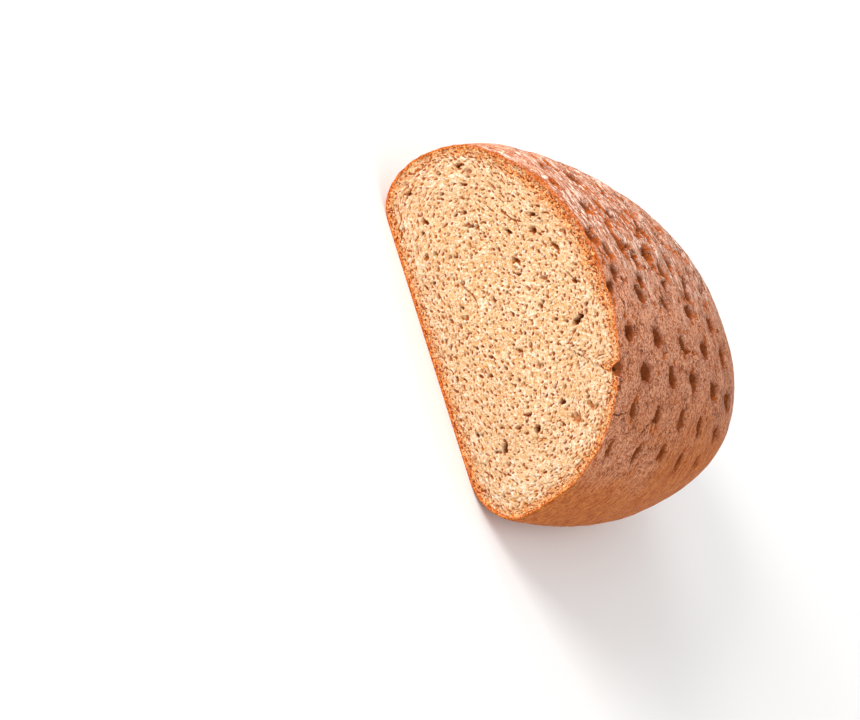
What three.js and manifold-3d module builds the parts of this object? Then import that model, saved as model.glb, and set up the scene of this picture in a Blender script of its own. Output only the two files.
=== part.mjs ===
// Half of an oblong, docked mixed rye loaf, cut straight across its middle.
// It rests on its flat base with the domed crust up. The cut face looks along -Y
// and the rounded tip along +Y. Millimetres, +Z up, with the origin at the middle
// of the base's bounding box.

import * as THREE from 'three';
import * as BufferGeometryUtils from 'three/addons/utils/BufferGeometryUtils.js';
import Module from 'manifold-3d';

const wasm = await Module();
wasm.setup();

// ---------------------------------------------------------------- driving dimensions

const WIDTH = 160; // widest, across X
const LENGTH = 160; // from the cut face to the tip
const HEIGHT = 86.5; // from the base to the crest
const CREST_X = -1; // the crest runs a little left of the middle

// The form differs a little between the right side (+X), the left side (-X) and the tip.
const WAIST_HEIGHT = { right: 18, left: 25, tip: 41 }; // height of the widest line
const FOOT_SHARE = { right: 0.69, left: 0.72, tip: 0.84 }; // base edge over widest line
const PLAN_POWER = { right: 2.45, left: 2.55, tip: 2.5 }; // squareness seen from above
const SHOULDER_POWER = { right: 2.35, left: 1.7, tip: 2.02 }; // fullness of the shoulders
const CREST_POWER = { right: 2.27, left: 2.24, tip: 2.26 }; // roundness towards the crest
const FOOT_POWER = { right: 1.97, left: 2.28, tip: 2.12 }; // roundness under the waist
const TIP_REACH = 2; // how soon the sides pass into the tip

// The left shoulder swells behind the cut and is drawn in where the cut crosses it.
const SHOULDER_TURN = 0.64; // where on the way from the crest (0) to the waist (1)
const SHOULDER_WIDTH = 0.19;
const SWELL = { height: 2, angle: 0.21, width: 0.42 }; // angles from the left end of the cut
const DRAW_IN = { depth: 3.8, width: 0.045 };
const SWELL_CENTRE_HEIGHT = 32; // the swell points away from here, in the middle of the cut

// Docking pits: each row runs from the cut towards the tip with a pit at every pitch,
// and leans towards the middle as the loaf narrows.
const PIT_ROWS = [
  { x: -72, first: 22, pitch: 21, lean: 0.2 },
  { x: -59.3, first: 13.3, pitch: 19.3, lean: 0.21 },
  { x: -36.2, first: 18.1, pitch: 21.6, lean: 0.09 },
  { x: -18.4, first: 4.4, pitch: 23.4, lean: 0.04 },
  { x: -13.2, first: 12.9, pitch: 24.3, lean: 0.05 },
  { x: -1.5, first: 10.3, pitch: 24.4, lean: -0.01 },
  { x: 6.5, first: 3, pitch: 25.2, lean: 0 },
  { x: 24.3, first: 10.9, pitch: 25.6, lean: -0.04 },
  { x: 39.3, first: 0.3, pitch: 23.6, lean: -0.035 },
  { x: 54.8, first: 15.6, pitch: 22.5, lean: -0.05 },
  { x: 68.2, first: 9, pitch: 21.8, lean: -0.07 },
];
const PIT_FURTHEST = 126; // no pit lies further from the cut
const PIT_LOWEST_SHARE = 0.62; // nor lower on the dome than this share of the height
const PIT_RADIUS = { least: 3.5, most: 4.6 };
const PIT_DEPTH = { least: 4.6, most: 6.6 };
const LOW_ROW = 50; // pits in rows further right than this have half closed
const LOW_PIT_SHARE = 0.6; // of the full radius and depth
const CUT_PIT_SHARE = 0.6; // the same for the pit that the cut runs through
const PIT_SCATTER = 0.9; // how far a pit strays from its place in the row
const PIT_SIDES = 10;
const PIT_SEED = 7;

// Open holes in the crumb: centre across and up the cut face, half sizes, tilt and depth.
const HOLES = [
  { x: 13.1, z: 67.3, long: 2.1, short: 1.3, tilt: 115, depth: 4.2 },
  { x: 11.9, z: 69.7, long: 1.3, short: 1.0, tilt: 63, depth: 4.2 },
  { x: 49.1, z: 19.3, long: 2.8, short: 1.0, tilt: 148, depth: 4.2 },
  { x: 47.6, z: 35.9, long: 1.8, short: 1.2, tilt: 135, depth: 4.2 },
  { x: -68.3, z: 37.6, long: 1.4, short: 0.8, tilt: 90, depth: 4.2 },
  { x: 50.3, z: 54.0, long: 2.5, short: 2.2, tilt: 19, depth: 1.5 },
  { x: 47.8, z: 61.8, long: 2.6, short: 1.2, tilt: 13, depth: 1.5 },
  { x: 41.7, z: 50.2, long: 1.7, short: 0.9, tilt: 78, depth: 2.8 },
  { x: -29.8, z: 61.0, long: 1.7, short: 1.4, tilt: 14, depth: 2.8 },
  { x: -34.0, z: 50.1, long: 1.9, short: 0.8, tilt: 41, depth: 2.8 },
  { x: -36.2, z: 62.7, long: 1.6, short: 0.8, tilt: 57, depth: 2.8 },
  { x: -19.7, z: 68.2, long: 2.7, short: 0.8, tilt: 27, depth: 2.3 },
  { x: -21.4, z: 49.6, long: 2.1, short: 0.9, tilt: 45, depth: 2.3 },
  { x: -23.4, z: 73.9, long: 1.8, short: 0.9, tilt: 4, depth: 1.9 },
  { x: -9.4, z: 59.1, long: 1.9, short: 1.0, tilt: 66, depth: 1.5 },
  { x: -2.6, z: 71.9, long: 1.3, short: 0.8, tilt: 35, depth: 2.8 },
  { x: 70.8, z: 52.6, long: 2.3, short: 0.6, tilt: 94, depth: 2.8 },
];
const HOLE_SIDES = 8;
const HOLE_RINGS = 6;

const RINGS_ABOVE = 19; // rings of faces from the crest down to the waist
const RINGS_BELOW = 5; // and from there to the base edge
const RINGS = RINGS_ABOVE + RINGS_BELOW;
const LINE_SAMPLES = 64; // short steps that a line down the crust is measured in
const NORMAL_STEP = 0.01; // of angle and of turn, for the direction of the crust
const MERGE_DISTANCE = 1e-4;
const CRUST_COLOUR = 0xa87450;
const CRUST_ROUGHNESS = 0.85;

// ---------------------------------------------------------------- the dome's form

const degrees = THREE.MathUtils.degToRad;

// Mixes a side's value into the tip's; cosine is that of the plan angle.
function sided(values, cosine) {
  const side = cosine > 0 ? values.right : values.left;
  const share = Math.abs(cosine) ** TIP_REACH;
  return side * share + values.tip * (1 - share);
}

// Half size of the outline seen from above, at a plan angle from 0 (+X) to pi (-X).
function planReach(angle) {
  const cosine = Math.cos(angle);
  const sine = Math.sin(angle);
  const power = sided(PLAN_POWER, cosine);
  const reach = (Math.abs(cosine) ** power + Math.abs(sine) ** power) ** (-1 / power);
  const halfWidth = cosine > 0 ? WIDTH / 2 - CREST_X : WIDTH / 2 + CREST_X;
  return { x: halfWidth * cosine * reach, y: LENGTH * sine * reach };
}

// A point of the crust: turn is 0 at the crest, 1 at the waist and 2 at the base edge.
function crustPoint(angle, turn) {
  const cosine = Math.cos(angle);
  const waist = sided(WAIST_HEIGHT, cosine);
  const reach = planReach(angle);
  let share;
  let z;
  if (turn <= 1) {
    const rise = (1 - turn) * Math.PI / 2;
    share = Math.max(Math.cos(rise), 0) ** (2 / sided(SHOULDER_POWER, cosine));
    z = waist + (HEIGHT - waist) * Math.sin(rise) ** (2 / sided(CREST_POWER, cosine));
  } else {
    const fall = (turn - 1) * Math.PI / 2;
    const foot = sided(FOOT_SHARE, cosine);
    const power = 2 / sided(FOOT_POWER, cosine);
    share = foot + (1 - foot) * Math.max(Math.cos(fall), 0) ** power;
    z = Math.max(waist - waist * Math.sin(fall) ** power, 0);
  }
  const point = new THREE.Vector3(CREST_X + share * reach.x, share * reach.y, z);
  return point.addScaledVector(awayFromMiddle(point), shoulderSwell(angle, turn));
}

function awayFromMiddle(point) {
  return new THREE.Vector3(CREST_X, 0, SWELL_CENTRE_HEIGHT).sub(point).negate().normalize();
}

function shoulderSwell(angle, turn) {
  const bell = (offset, width) => Math.exp(-((offset / width) ** 2));
  const fromLeft = Math.PI - angle;
  const rise = SWELL.height * bell(fromLeft - SWELL.angle, SWELL.width);
  const drop = DRAW_IN.depth * bell(fromLeft, DRAW_IN.width);
  return (rise - drop) * bell(turn - SHOULDER_TURN, SHOULDER_WIDTH);
}

// The turns that split a line down the crust into even steps, between two turns.
function evenTurns(angle, from, to, steps) {
  const turnAt = (sample) => from + ((to - from) * sample) / LINE_SAMPLES;
  const lengths = [0];
  for (let i = 1; i <= LINE_SAMPLES; i++) {
    const step = crustPoint(angle, turnAt(i)).distanceTo(crustPoint(angle, turnAt(i - 1)));
    lengths.push(lengths[i - 1] + step);
  }
  const turns = [];
  let i = 0;
  for (let step = 0; step <= steps; step++) {
    const wanted = (lengths[LINE_SAMPLES] * step) / steps;
    while (i < LINE_SAMPLES - 1 && lengths[i + 1] < wanted) i++;
    turns.push(turnAt(i + (wanted - lengths[i]) / (lengths[i + 1] - lengths[i])));
  }
  return turns;
}

function ringTurns(angle) {
  const above = evenTurns(angle, 0, 1, RINGS_ABOVE);
  return [...above, ...evenTurns(angle, 1, 2, RINGS_BELOW).slice(1)];
}

// The plan angle and turn of the upper dome at a place in plan, mirrored across the cut.
function overPlace(x, y) {
  const halfWidth = x > CREST_X ? WIDTH / 2 - CREST_X : WIDTH / 2 + CREST_X;
  const angle = Math.atan2(Math.abs(y) / LENGTH, (x - CREST_X) / halfWidth);
  const reach = planReach(angle);
  const share = Math.min(Math.hypot(x - CREST_X, y) / Math.hypot(reach.x, reach.y), 1);
  const rise = Math.acos(share ** (sided(SHOULDER_POWER, Math.cos(angle)) / 2));
  return { angle, turn: 1 - rise / (Math.PI / 2) };
}

function crustNormal(angle, turn) {
  const step = NORMAL_STEP;
  const along = crustPoint(angle + step, turn).sub(crustPoint(angle - step, turn));
  const down = crustPoint(angle, turn + step).sub(crustPoint(angle, turn - step));
  return down.cross(along).normalize();
}

// ---------------------------------------------------------------- closed meshes

function toManifold(geometry) {
  geometry.deleteAttribute('normal');
  geometry.deleteAttribute('uv');
  const merged = BufferGeometryUtils.mergeVertices(geometry, MERGE_DISTANCE);
  return new wasm.Manifold(
    new wasm.Mesh({
      numProp: 3,
      vertProperties: new Float32Array(merged.attributes.position.array),
      triVerts: new Uint32Array(merged.index.array),
    }),
  );
}

function toGeometry(manifold) {
  const mesh = manifold.getMesh();
  const geometry = new THREE.BufferGeometry();
  geometry.setAttribute('position', new THREE.BufferAttribute(mesh.vertProperties, mesh.numProp));
  geometry.setIndex(new THREE.BufferAttribute(mesh.triVerts, 1));
  geometry.computeVertexNormals();
  return geometry;
}

// The crust is a half-square grid bent onto the dome, so that its faces stay even in size.
// Two fans close it with the flat cut face and the flat base.
function plainLoaf() {
  const columns = 2 * RINGS;
  const positions = [];
  for (let row = 0; row <= RINGS; row++) {
    for (let column = 0; column <= columns; column++) {
      const across = column - RINGS;
      const ring = Math.max(Math.abs(across), row);
      let angle = Math.PI / 2;
      if (Math.abs(across) > row) {
        angle = (Math.PI / 4) * (row / Math.abs(across));
        if (across < 0) angle = Math.PI - angle;
      } else if (row > 0) {
        angle = Math.PI / 2 - (Math.PI / 4) * (across / row);
      }
      const point = crustPoint(angle, ringTurns(angle)[ring]);
      positions.push(point.x, row === 0 ? 0 : point.y, point.z);
    }
  }
  const at = (row, column) => row * (columns + 1) + column;
  const faces = [];
  for (let row = 0; row < RINGS; row++) {
    for (let column = 0; column < columns; column++) {
      const [a, b] = [at(row, column), at(row, column + 1)];
      const [c, d] = [at(row + 1, column + 1), at(row + 1, column)];
      if (column < RINGS) faces.push(a, b, d, b, c, d);
      else faces.push(a, b, c, a, c, d);
    }
  }
  const cutMiddle = positions.length / 3;
  positions.push(CREST_X, 0, HEIGHT / 2);
  const baseMiddle = cutMiddle + 1;
  positions.push(CREST_X, LENGTH / 3, 0);
  const cutEdge = [];
  for (let column = 0; column <= columns; column++) cutEdge.push(at(0, column));
  const baseEdge = [at(0, 0)];
  for (let row = 1; row <= RINGS; row++) baseEdge.push(at(row, 0));
  for (let column = 1; column <= columns; column++) baseEdge.push(at(RINGS, column));
  for (let row = RINGS - 1; row >= 0; row--) baseEdge.push(at(row, columns));
  const closeWith = (edge, middle) => {
    edge.forEach((vertex, i) => faces.push(vertex, middle, edge[(i + 1) % edge.length]));
  };
  closeWith(cutEdge, cutMiddle);
  closeWith(baseEdge.reverse(), baseMiddle);
  const geometry = new THREE.BufferGeometry();
  geometry.setAttribute('position', new THREE.Float32BufferAttribute(positions, 3));
  geometry.setIndex(faces);
  return toManifold(geometry);
}

// ---------------------------------------------------------------- docking pits

// Numbers from 0 to 1 that come in the same order for the same seed.
function seededRandom(seed) {
  const factor = 16807;
  const limit = 2147483647;
  let state = seed;
  return () => {
    state = (state * factor) % limit;
    return state / limit;
  };
}

// A pit's section from its floor to above its mouth: shares of its radius, across and up,
// and of its depth, down.
const PIT_PROFILE = [
  { across: 0, down: 1 },
  { across: 0.5, down: 0.92 },
  { across: 0.8, down: 0.55 },
  { across: 1, down: 0 },
  { across: 1.25, up: 0.6 },
  { across: 0, up: 0.6 },
];

// A pit to cut away, pointing down along -Y of its own frame.
function pitTool(radius, depth) {
  const profile = PIT_PROFILE.map(({ across, up = 0, down = 0 }) => (
    new THREE.Vector2(radius * across, radius * up - depth * down)
  ));
  return new THREE.LatheGeometry(profile, PIT_SIDES);
}

// Pits in the low rows, and the one at the cut itself, are smaller than the rest.
function pitShare(row, along) {
  if (row.x > LOW_ROW) return LOW_PIT_SHARE;
  return along < 1 ? CUT_PIT_SHARE : 1;
}

function pits() {
  const random = seededRandom(PIT_SEED);
  const between = (range) => range.least + (range.most - range.least) * random();
  const stray = () => (random() - 0.5) * 2 * PIT_SCATTER;
  let all = null;
  for (const row of PIT_ROWS) {
    for (let along = row.first; along < PIT_FURTHEST; along += row.pitch) {
      const { angle, turn } = overPlace(row.x + row.lean * along + stray(), along + stray());
      const share = pitShare(row, along);
      const radius = between(PIT_RADIUS) * share;
      const depth = between(PIT_DEPTH) * share;
      const mouth = crustPoint(angle, turn);
      if (mouth.z < HEIGHT * PIT_LOWEST_SHARE) break;
      const tool = pitTool(radius, depth);
      const up = new THREE.Vector3(0, 1, 0);
      const turned = new THREE.Quaternion().setFromUnitVectors(up, crustNormal(angle, turn));
      tool.applyQuaternion(turned);
      tool.translate(mouth.x, mouth.y, mouth.z);
      const solid = toManifold(tool);
      all = all ? all.add(solid) : solid;
    }
  }
  return all;
}

// ---------------------------------------------------------------- holes in the crumb

function holes() {
  let all = null;
  for (const hole of HOLES) {
    const tool = new THREE.SphereGeometry(1, HOLE_SIDES, HOLE_RINGS);
    tool.scale(hole.long, hole.depth, hole.short);
    tool.rotateY(-degrees(hole.tilt));
    tool.translate(hole.x, 0, hole.z);
    const solid = toManifold(tool);
    all = all ? all.add(solid) : solid;
  }
  return all;
}

// ---------------------------------------------------------------- the loaf

const loaf = toGeometry(plainLoaf().subtract(pits()).subtract(holes()));
loaf.translate(0, -LENGTH / 2, 0);

const halfLoaf = new THREE.Mesh(
  loaf,
  new THREE.MeshStandardMaterial({ color: CRUST_COLOUR, roughness: CRUST_ROUGHNESS, metalness: 0 }),
);
halfLoaf.name = 'half_loaf';

const part = new THREE.Group();
part.add(halfLoaf);

export default part;
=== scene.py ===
"""Half of a docked mixed rye loaf: its baked crust and its cut crumb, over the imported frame.

Lengths are worked out in millimetres, in the form's own frame: the cut face lies at y = 0,
the tip at y = LENGTH and the base at z = 0. They are turned into metres, with the origin
moved to the middle of the base, when a mesh is made.
"""

import math

import bpy
import numpy as np
from mathutils import Matrix, Vector, kdtree, noise


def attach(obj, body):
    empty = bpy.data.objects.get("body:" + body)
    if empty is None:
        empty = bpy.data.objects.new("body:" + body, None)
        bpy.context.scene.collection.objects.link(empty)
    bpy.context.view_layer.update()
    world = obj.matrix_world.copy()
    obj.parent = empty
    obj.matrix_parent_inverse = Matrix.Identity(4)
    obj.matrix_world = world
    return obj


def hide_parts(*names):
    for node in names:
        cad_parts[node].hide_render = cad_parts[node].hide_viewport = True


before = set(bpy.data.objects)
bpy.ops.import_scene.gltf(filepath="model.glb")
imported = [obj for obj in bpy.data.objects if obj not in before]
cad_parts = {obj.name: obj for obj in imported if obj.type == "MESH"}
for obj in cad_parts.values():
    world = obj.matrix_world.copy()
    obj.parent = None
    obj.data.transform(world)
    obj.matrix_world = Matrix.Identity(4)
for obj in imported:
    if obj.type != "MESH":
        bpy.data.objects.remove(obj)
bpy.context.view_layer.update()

MM = 0.001

# -------- camera

VIEW_AZIMUTH = 17.7  # degrees round from facing +Y
VIEW_ELEVATION = 25.0
VIEW_ROLL = 64.8  # the photographed half is tipped onto its side
VIEW_DISTANCE = 4820.0  # mm
PICTURE_WIDTH = 860
PIXELS_PER_MM = 2.444  # at the aim distance
AIM = (0.0, 48.0, 40.0)  # a point in the middle of the loaf
AIM_RIGHT_OF_CENTRE = 56.5  # mm in the picture's plane
AIM_ABOVE_CENTRE = 12.4


def picture_axes():
    """The picture's right, its up, and the way back to the camera."""
    azimuth, elevation, roll = (math.radians(a) for a in (VIEW_AZIMUTH, VIEW_ELEVATION, VIEW_ROLL))
    back = Vector(
        (
            math.sin(azimuth) * math.cos(elevation),
            -math.cos(azimuth) * math.cos(elevation),
            math.sin(elevation),
        )
    )
    level = Vector((math.cos(azimuth), math.sin(azimuth), 0.0))
    up = back.cross(level)
    right = math.cos(roll) * level + math.sin(roll) * up
    return right, back.cross(right), back


def to_frame(point):
    """A point of the form, in mm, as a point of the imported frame, in metres."""
    return Vector((point[0], point[1] - LENGTH / 2, point[2])) * MM


def make_camera():
    right, up, back = picture_axes()
    data = bpy.data.cameras.new("camera")
    data.sensor_width = 36.0
    data.lens = PIXELS_PER_MM * VIEW_DISTANCE / PICTURE_WIDTH * data.sensor_width
    data.clip_end = 100.0
    camera = bpy.data.objects.new("camera", data)
    place = to_frame(AIM) + MM * (
        VIEW_DISTANCE * back - AIM_RIGHT_OF_CENTRE * right - AIM_ABOVE_CENTRE * up
    )
    turn = Matrix((right, up, back)).transposed().to_4x4()
    camera.matrix_world = Matrix.Translation(place) @ turn
    bpy.context.collection.objects.link(camera)
    bpy.context.scene.camera = camera


# -------- the dome's form, as built

WIDTH = 160.0
LENGTH = 160.0
HEIGHT = 86.5
CREST_X = -1.0
# each on the right side, on the left side and at the tip
WAIST_HEIGHT = (18, 25, 41)
FOOT_SHARE = (0.69, 0.72, 0.84)
PLAN_POWER = (2.45, 2.55, 2.5)
SHOULDER_POWER = (2.35, 1.7, 2.02)
CREST_POWER = (2.27, 2.24, 2.26)
FOOT_POWER = (1.97, 2.28, 2.12)

TIP_REACH = 2
SHOULDER_TURN = 0.64
SHOULDER_WIDTH = 0.19
SWELL = {"height": 2, "angle": 0.21, "width": 0.42}
DRAW_IN = {"depth": 3.8, "width": 0.045}
SWELL_CENTRE_HEIGHT = 32

# x at the cut, first pit's y, pitch and lean of each row of docking pits
PIT_ROWS = [
    (-72, 22, 21, 0.2),
    (-59.3, 13.3, 19.3, 0.21),
    (-36.2, 18.1, 21.6, 0.09),
    (-18.4, 4.4, 23.4, 0.04),
    (-13.2, 12.9, 24.3, 0.05),
    (-1.5, 10.3, 24.4, -0.01),
    (6.5, 3, 25.2, 0),
    (24.3, 10.9, 25.6, -0.04),
    (39.3, 0.3, 23.6, -0.035),
    (54.8, 15.6, 22.5, -0.05),
    (68.2, 9, 21.8, -0.07),
]
PIT_FURTHEST = 126
PIT_LOWEST_SHARE = 0.62
PIT_RADIUS = (3.5, 4.6)
PIT_DEPTH = (4.6, 6.6)
PIT_SCATTER = 0.9
PIT_SEED = 7

# open holes: centre across and up the cut face, half sizes, tilt and depth
HOLES = [
    (13.1, 67.3, 2.1, 1.3, 115, 4.2), (11.9, 69.7, 1.3, 1, 63, 4.2),
    (49.1, 19.3, 2.8, 1, 148, 4.2), (47.6, 35.9, 1.8, 1.2, 135, 4.2),
    (-68.3, 37.6, 1.4, 0.8, 90, 4.2), (50.3, 54, 2.5, 2.2, 19, 1.5),
    (47.8, 61.8, 2.6, 1.2, 13, 1.5), (41.7, 50.2, 1.7, 0.9, 78, 2.8),
    (-29.8, 61, 1.7, 1.4, 14, 2.8), (-34, 50.1, 1.9, 0.8, 41, 2.8),
    (-36.2, 62.7, 1.6, 0.8, 57, 2.8), (-19.7, 68.2, 2.7, 0.8, 27, 2.3),
    (-21.4, 49.6, 2.1, 0.9, 45, 2.3), (-23.4, 73.9, 1.8, 0.9, 4, 1.9),
    (-9.4, 59.1, 1.9, 1, 66, 1.5), (-2.6, 71.9, 1.3, 0.8, 35, 2.8),
    (70.8, 52.6, 2.3, 0.6, 94, 2.8), (-66.7, 12.2, 1.4, 0.8, 81, 2.8),
    (-52.6, 15.9, 1.7, 0.7, 37, 2.8), (-48.8, 13.3, 0.9, 0.5, 81, 2.8),
    (-60, 37.6, 1.7, 0.6, 62, 2.2), (-49.2, 33.8, 1.4, 0.9, 64, 2.2),
    (-64.5, 41.2, 1.9, 1.2, 64, 1.5), (-54.3, 49.4, 2.4, 0.8, 28, 1.5),
    (-9.9, 34.7, 1.5, 0.8, 5, 2.1), (0.9, 54, 1.4, 1, 19, 1.9),
    (8.6, 58.6, 1.2, 0.8, 64, 1.9), (-27.4, 11.2, 0.9, 0.7, 61, 2.8),
    (-33.5, 24.2, 1.2, 0.6, 65, 1.9), (-38.8, 11.7, 1.3, 0.8, 17, 1.9),
    (-38.3, 16, 1.4, 0.6, 29, 1.9), (-21.9, 24.3, 0.8, 0.5, 174, 2.8),
    (-60.4, 26.8, 1.1, 0.6, 81, 1.9), (-68.7, 28.3, 1.1, 0.6, 86, 1.9),
    (-71.3, 11.8, 1.3, 0.5, 113, 1.9), (-42.7, 34.9, 1.6, 0.5, 103, 1.9),
    (11.5, 25.6, 1.3, 0.8, 65, 1.9), (15.5, 39.4, 1.9, 0.8, 167, 1.6),
    (23.6, 44.9, 1.4, 1, 169, 1.5), (18.8, 23, 1.2, 0.8, 64, 1.9),
    (40.6, 33.9, 1.6, 0.8, 83, 2.1), (43.8, 27.9, 1.4, 0.8, 81, 1.9),
    (39.2, 9.3, 1.2, 0.6, 21, 2.8), (56.2, 18.5, 1.1, 0.9, 62, 1.5),
    (53.5, 67, 1.2, 0.6, 16, 2.1), (49.1, 15.1, 0.9, 0.4, 92, 2.8),
]
# splits in the crumb, each a run of places across and up the cut face
SPLITS = [
    [(-43.0, 49.9), (-39.2, 52.5), (-36.0, 54.8), (-32.2, 55.4)],
    [(-37.9, 53.5), (-35.3, 57.0)],
    [(-20.4, 23.5), (-16.4, 25.6), (-13.2, 26.9), (-11.3, 27.2)],
    [(-7.5, 69.7), (-5.3, 70.9), (-3.6, 71.7)],
    [(-47.5, 44.6), (-44.7, 46.0)],
]
SPLIT_WIDTH = 0.32
SPLIT_DEPTH = 1.0


def sided(values, cosine):
    right, left, tip = values
    share = np.abs(cosine) ** TIP_REACH
    return np.where(cosine > 0, right, left) * share + tip * (1 - share)


def plan_reach(angle):
    cosine = np.cos(angle)
    sine = np.sin(angle)
    power = sided(PLAN_POWER, cosine)
    reach = (np.abs(cosine) ** power + np.abs(sine) ** power) ** (-1 / power)
    half_width = np.where(cosine > 0, WIDTH / 2 - CREST_X, WIDTH / 2 + CREST_X)
    return half_width * cosine * reach, LENGTH * sine * reach


def bell(offset, width):
    return np.exp(-((offset / width) ** 2))


def crust_point(angle, turn):
    """Points of the plain dome: turn is 0 at the crest, 1 at the waist and 2 at the base edge."""
    angle, turn = np.asarray(angle, dtype=float), np.asarray(turn, dtype=float)
    cosine = np.cos(angle)
    waist = sided(WAIST_HEIGHT, cosine)
    reach_x, reach_y = plan_reach(angle)
    rise = (1 - np.minimum(turn, 1)) * np.pi / 2
    fall = (np.maximum(turn, 1) - 1) * np.pi / 2
    upper = np.maximum(np.cos(rise), 0) ** (2 / sided(SHOULDER_POWER, cosine))
    upper_z = waist + (HEIGHT - waist) * np.sin(rise) ** (2 / sided(CREST_POWER, cosine))
    foot = sided(FOOT_SHARE, cosine)
    power = 2 / sided(FOOT_POWER, cosine)
    lower = foot + (1 - foot) * np.maximum(np.cos(fall), 0) ** power
    lower_z = np.maximum(waist - waist * np.sin(fall) ** power, 0)
    share = np.where(turn <= 1, upper, lower)
    z = np.where(turn <= 1, upper_z, lower_z)
    point = np.stack([CREST_X + share * reach_x, share * reach_y, z], -1)
    away = point - np.array([CREST_X, 0, SWELL_CENTRE_HEIGHT])
    away /= np.linalg.norm(away, axis=-1, keepdims=True)
    from_left = np.pi - angle
    swelling = SWELL["height"] * bell(from_left - SWELL["angle"], SWELL["width"])
    swelling -= DRAW_IN["depth"] * bell(from_left, DRAW_IN["width"])
    swelling *= bell(turn - SHOULDER_TURN, SHOULDER_WIDTH)
    return point + away * swelling[..., None]


def crust_normal(angle, turn):
    step = 0.01
    along = crust_point(angle + step, turn) - crust_point(angle - step, turn)
    down = crust_point(angle, turn + step) - crust_point(angle, turn - step)
    normal = np.cross(down, along)
    return normal / np.linalg.norm(normal, axis=-1, keepdims=True)


def over_place(x, y):
    """The plan angle and turn of the upper dome at a place in plan, mirrored across the cut."""
    half_width = np.where(x > CREST_X, WIDTH / 2 - CREST_X, WIDTH / 2 + CREST_X)
    angle = np.arctan2(np.abs(y) / LENGTH, (x - CREST_X) / half_width)
    reach_x, reach_y = plan_reach(angle)
    share = np.minimum(np.hypot(x - CREST_X, y) / np.hypot(reach_x, reach_y), 1)
    rise = np.arccos(share ** (sided(SHOULDER_POWER, np.cos(angle)) / 2))
    return angle, 1 - rise / (np.pi / 2)


def seeded_draws(seed):
    state = seed
    while True:
        state = (state * 16807) % 2147483647
        yield state / 2147483647


def docking_pits():
    """Mouth, outward axis, radius and depth of each pit, by the same rule as the solid's."""
    draws = seeded_draws(PIT_SEED)
    pits = []
    for first_x, first_y, pitch, lean in PIT_ROWS:
        along = first_y
        while along < PIT_FURTHEST:
            x = first_x + lean * along + (next(draws) - 0.5) * 2 * PIT_SCATTER
            y = along + (next(draws) - 0.5) * 2 * PIT_SCATTER
            angle, turn = over_place(x, y)
            ranges = (PIT_RADIUS, PIT_DEPTH)
            radius, depth = (low + (high - low) * next(draws) for low, high in ranges)
            mouth = crust_point(angle, turn)
            if mouth[2] < HEIGHT * PIT_LOWEST_SHARE:
                break
            pits.append((mouth, crust_normal(angle, turn), radius, depth))
            along += pitch
    return pits


# -------- small tools


def smooth(low, high, value):
    t = np.clip((value - low) / (high - low), 0, 1)
    return t * t * (3 - 2 * t)


def noise_at(points, scale, seed):
    """Smooth noise from about -1 to 1 at each point, one wave every 1 / scale mm."""
    scale = np.broadcast_to(np.asarray(scale, dtype=float), (3,))
    shifted = points * scale + np.array([seed * 7.31, seed * 3.77, seed * 5.13])
    return np.array([noise.noise(p) for p in shifted.tolist()])


def make_object(name, points, faces, attributes, material):
    """A smooth mesh from points in mm. Attributes are numbers on its first points, 0 after."""
    mesh = bpy.data.meshes.new(name)
    placed = (np.asarray(points) - np.array([0, LENGTH / 2, 0])) * MM
    mesh.from_pydata(placed.tolist(), [], faces)
    for key, values in attributes.items():
        kind, field = ("FLOAT_VECTOR", "vector") if values.ndim == 2 else ("FLOAT", "value")
        padded = np.zeros((len(points), *values.shape[1:]), dtype=np.float32)
        padded[: len(values)] = values
        mesh.attributes.new(key, kind, "POINT").data.foreach_set(field, padded.ravel())
    mesh.polygons.foreach_set("use_smooth", [True] * len(mesh.polygons))
    mesh.materials.append(material)
    mesh.update()
    mesh.validate()
    piece = bpy.data.objects.new(name, mesh)
    bpy.context.collection.objects.link(piece)
    return piece


def grid_faces(rows, columns):
    """The point numbers of a grid, and its four-sided faces."""
    vertex = np.arange(rows * columns).reshape(rows, columns)
    corners = vertex[:-1, :-1], vertex[:-1, 1:], vertex[1:, 1:], vertex[1:, :-1]
    return vertex, np.stack(corners, -1).reshape(-1, 4).tolist()


def add_loops(points, outline, steps):
    """Adds a loop of points for each step in and back from the cut's outline."""
    middle = np.array(CUT_MIDDLE)
    spoke = outline - middle
    length = np.linalg.norm(spoke, axis=1, keepdims=True)
    loops = []
    for inset, back in steps:
        first = len(points)
        points += [[x, back, z] for x, z in middle + spoke * (1 - inset / length)]
        loops.append(list(range(first, len(points))))
    return loops


def join_loops(faces, loops):
    """Adds a band of faces between each loop and the next."""
    for outside, inner in zip(loops, loops[1:]):
        for i in range(len(outside)):
            j = (i + 1) % len(outside)
            faces.append([outside[i], inner[i], inner[j], outside[j]])


def close_loop(faces, points, loop, middle):
    """Adds a point in the middle of a loop, and a fan of faces to it."""
    points.append(middle)
    for i, corner in enumerate(loop):
        faces.append([corner, len(points) - 1, loop[(i + 1) % len(loop)]])


def points_near(tree, place, reach):
    return np.array([found[1] for found in tree.find_range(place, reach)])


# -------- crust relief

RELIEF_SEED = 21

PIT_REACH = 18  # from its mouth
PIT_WAVES = ((2, 0.12), (3, 0.1), (5, 0.06))  # round its rim
PIT_GRAIN = 0.12
# a pit's length down the dome and along the loaf, over its radius, and its openness
PIT_DRAWS = ((0.95, 1.1), (1.0, 1.25), (0.9, 1.0))
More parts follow.
